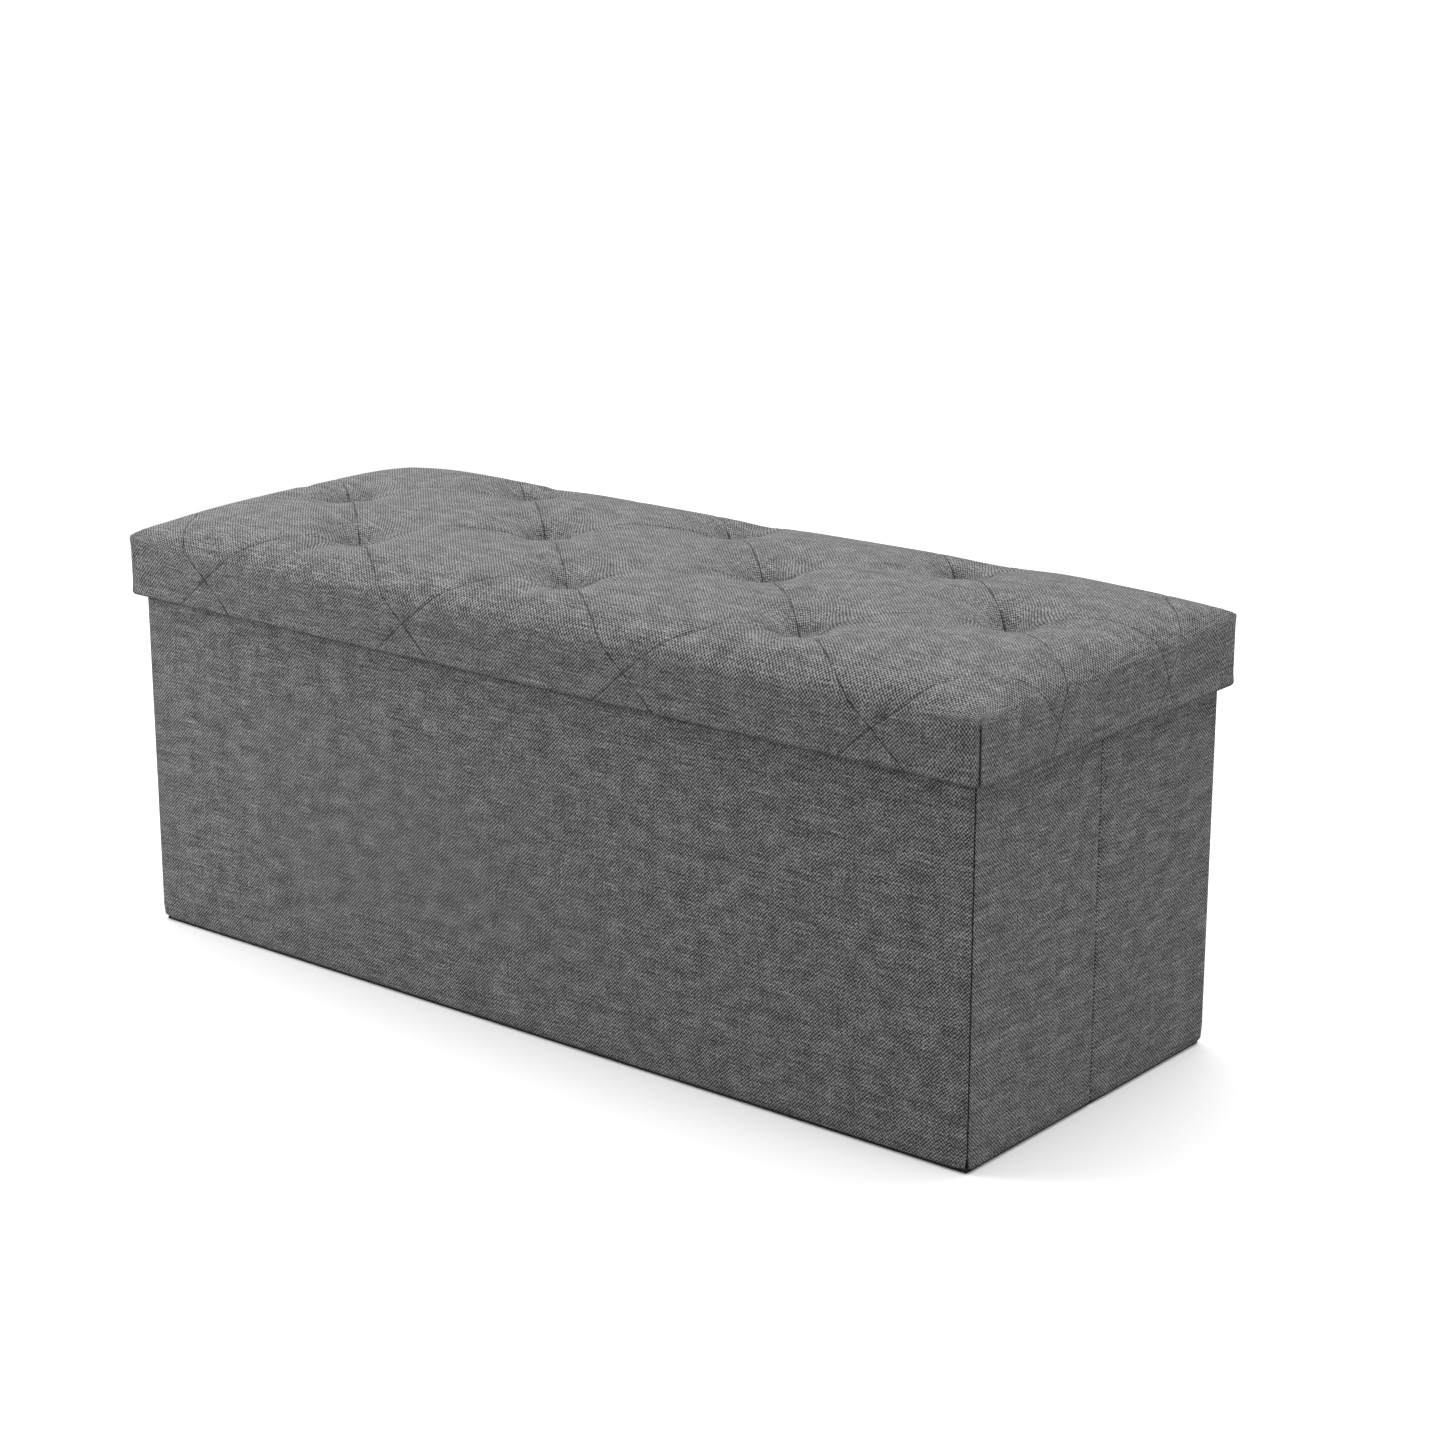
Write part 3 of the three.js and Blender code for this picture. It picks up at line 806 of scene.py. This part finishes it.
for side_name, sign in (("right", 1), ("left", -1)):
    for row_name, row_sign in (("front", -1), ("rear", 1)):
        wall, end = f"{row_name}_wall", f"{side_name}_{row_name}_end"
        inner_x = min(abs(corner.x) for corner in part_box(f"{side_name}_{row_name}_lining"))
        inner_y = min(abs(corner.y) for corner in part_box(f"{row_name}_lining"))
        inner = Vector((inner_x * sign, inner_y * row_sign, 0))
        outward = Vector((sign, row_sign, 0)).normalized()
        toward_end = Vector((sign, -row_sign, 0)).normalized()
        foot = (np.array(inner) + deep[:, None] * np.array(outward)
                + across[:, None] * np.array(toward_end))
        strip_points = foot[:, None] + upright[None, :, None] * np.array((0, 0, 1))
        strip = cloth_object(f"{side_name}_{row_name}_corner_strip", strip_points, {
            "cloth": np.stack(np.meshgrid(along + 5.3, upright + sign, indexing="ij"), -1)})
        strip.data.materials.append(wall_cloth)
        if (side_name, row_name) == ("left", "front"):
            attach(strip, end)
        else:
            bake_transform(strip)

# ---- Linings and base cloth ----------------------------------------------------------------------
# Dark spun-bonded cloth lines the walls, the base and the inside of the lid. It is glued down, with
# a stitched border, and black cloth of the same kind closes the base underneath.
def make_spunbond():
    group, given, result = node_group(
        "spunbond",
        [("Cloth", "NodeSocketVector", None), ("Dots per Metre", "NodeSocketFloat", 650.0)],
        [("Shade", "NodeSocketFloat"), ("Height", "NodeSocketFloat")])
    cloth = given.outputs["Cloth"]
    split = group.nodes.new("ShaderNodeSeparateXYZ")
    group.links.new(cloth, split.inputs[0])
    turns = math_node(group, "MULTIPLY", given.outputs["Dots per Metre"], 2 * math.pi)
    waves = [math_node(group, "SINE", math_node(group, "MULTIPLY", split.outputs[axis], turns))
             for axis in ("X", "Y")]
    dots = fade(group, math_node(group, "MULTIPLY", *waves), 0.2, 0.7)
    fibres = stretched_noise(group, cloth, 900.0, 300.0, 4.0)
    clouds = stretched_noise(group, cloth, 40.0, 40.0, 3.0)
    shade = math_node(group, "MULTIPLY_ADD", fibres, 0.8,
                      math_node(group, "MULTIPLY_ADD", clouds, 0.5, 1.0))
    group.links.new(math_node(group, "MULTIPLY_ADD", dots, -0.25, shade), result.inputs["Shade"])
    group.links.new(math_node(group, "MULTIPLY_ADD", dots, -1.0, fibres), result.inputs["Height"])
    return group


spunbond = make_spunbond()
stitch_inset, stitch_length = 0.006, 0.004


def lining_cloth(name, tone):
    """Spun-bonded cloth with a row of stitches along its border."""
    material = bpy.data.materials.new(name)
    material.use_nodes = True
    tree = material.node_tree
    shader = tree.nodes["Principled BSDF"]
    shader.inputs["Roughness"].default_value = 0.95
    shader.inputs["Specular IOR Level"].default_value = 0.2
    cloth, u, v = map_values(tree, "cloth")
    bonded = tree.nodes.new("ShaderNodeGroup")
    bonded.node_tree = spunbond
    tree.links.new(cloth, bonded.inputs["Cloth"])
    _, from_side, from_end = map_values(tree, "border")
    along = math_node(tree, "PINGPONG", math_node(tree, "ADD", u, v), stitch_length)
    dash = fade(tree, along, 0.0006, 0.0011)
    nearest = math_node(tree, "MINIMUM", from_side, from_end)
    off_line = math_node(tree, "ABSOLUTE", math_node(tree, "SUBTRACT", nearest, stitch_inset))
    thread = math_node(tree, "MULTIPLY", fade(tree, off_line, 0.0003, 0.0007, 1.0, 0.0), dash)
    shade = math_node(tree, "MULTIPLY_ADD", thread, 1.2, bonded.outputs["Shade"])
    height = math_node(tree, "MULTIPLY_ADD", thread, 2.0, bonded.outputs["Height"])
    dye_and_raise(tree, tone, shade, height, 0.0003)
    return material


lining_grey = lining_cloth("lining_cloth", (0.040, 0.040, 0.042))
base_black = lining_cloth("base_cloth", (0.016, 0.016, 0.017))


def flat_lining(node, body, material, number):
    """A lining sheet in a CAD lining's place, with a little slack in it."""
    low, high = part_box(node)
    size = np.array(high - low)
    thin = int(np.argmin(size))
    wide = [axis for axis in range(3) if axis != thin]
    counts = [max(4, round(size[axis] / 0.02)) for axis in wide]
    s, t = np.meshgrid(*[np.linspace(0, 1, count + 1) for count in counts], indexing="ij")
    slack = np.sin(3 * math.pi * s + number) * np.sin(2 * math.pi * t + 2 * number)
    slack = slack * (1 - (2 * s - 1) ** 6) * (1 - (2 * t - 1) ** 6)
    points = np.empty(s.shape + (3,))
    points[..., wide[0]] = low[wide[0]] + s * size[wide[0]]
    points[..., wide[1]] = low[wide[1]] + t * size[wide[1]]
    points[..., thin] = low[thin] + size[thin] / 2 + 0.0001 * slack
    flat = np.stack([s * size[wide[0]], t * size[wide[1]]], -1)
    border = np.stack([np.minimum(s, 1 - s) * size[wide[0]],
                       np.minimum(t, 1 - t) * size[wide[1]]], -1)
    made = cloth_object(f"{node}_sheet", points, {"cloth": flat, "border": border})
    modifier = made.modifiers.new("thickness", "SOLIDIFY")
    modifier.thickness = float(size[thin]) * 0.7
    modifier.offset = 0.0
    apply_modifier(made, modifier)
    made.data.materials.append(material)
    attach(made, body)
    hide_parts(node)


for number, (name, (body, _)) in enumerate(wall_panels.items()):
    flat_lining(f"{name}_lining", body, lining_grey, number)
flat_lining("base_lining", "rear_wall", lining_grey, 7)

low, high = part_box("base_board")
cloth_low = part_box("base_cloth")[0].z
wrap_radius, wrap_gap = 0.0006, 0.0005
wrap_side = high.z - cloth_low - wrap_radius
across = stations([(high.x + wrap_gap - wrap_radius, 48)], wrap_radius, wrap_side, 1, 0.004)
along = stations([(high.y + wrap_gap - wrap_radius, 18)], wrap_radius, wrap_side, 1, 0.004)
points, flat, _ = laid_cloth(
    across, along, lambda x, y: 0.0 * x + 0.0 * y, -wrap_side - wrap_radius,
    lambda x, y: wrap_radius)
points[..., 2] = cloth_low + 0.00005 - points[..., 2]
limit = flat.reshape(-1, 2).max(0)
base_wrap = cloth_object("base_cloth_wrap", points,
                         {"cloth": flat, "border": limit - np.abs(flat)})
weld(base_wrap, 0.00005)
base_wrap.data.materials.append(base_black)
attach(base_wrap, "rear_wall")
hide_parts("base_cloth")

# ---- Lid lining ----------------------------------------------------------------------------------
# One cut of the same dark spun-bonded cloth. It is glued under the lid board and down the inside of
# the skirts, with its corners cut out and butted.
low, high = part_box("lid_lining")
lining_radius = 0.003
lining_step = 0.02
board_gap, skirt_gap = 0.0006, 0.0005
lining_slack = 0.0001
lining_side = high.z - low.z - lining_radius - board_gap
across, along = [
    stations(even_stops(half - skirt_gap - lining_radius, lining_step), lining_radius, lining_side, 2)
    for half in (high.x, high.y)]
points, flat, _ = laid_cloth(
    across, along,
    lambda x, y: high.z - board_gap + lining_slack * np.sin(14 * x) * np.sin(20 * y),
    low.z + board_gap / 2, lambda x, y: lining_radius)
limit = flat.reshape(-1, 2).max(0)
border = limit - np.abs(flat)
lid_lining = cloth_object("lid_lining_tray", points, {"cloth": flat, "border": border})
weld(lid_lining, 0.0001)
lid_lining.data.materials.append(lining_grey)
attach(lid_lining, "lid")
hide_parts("lid_lining")
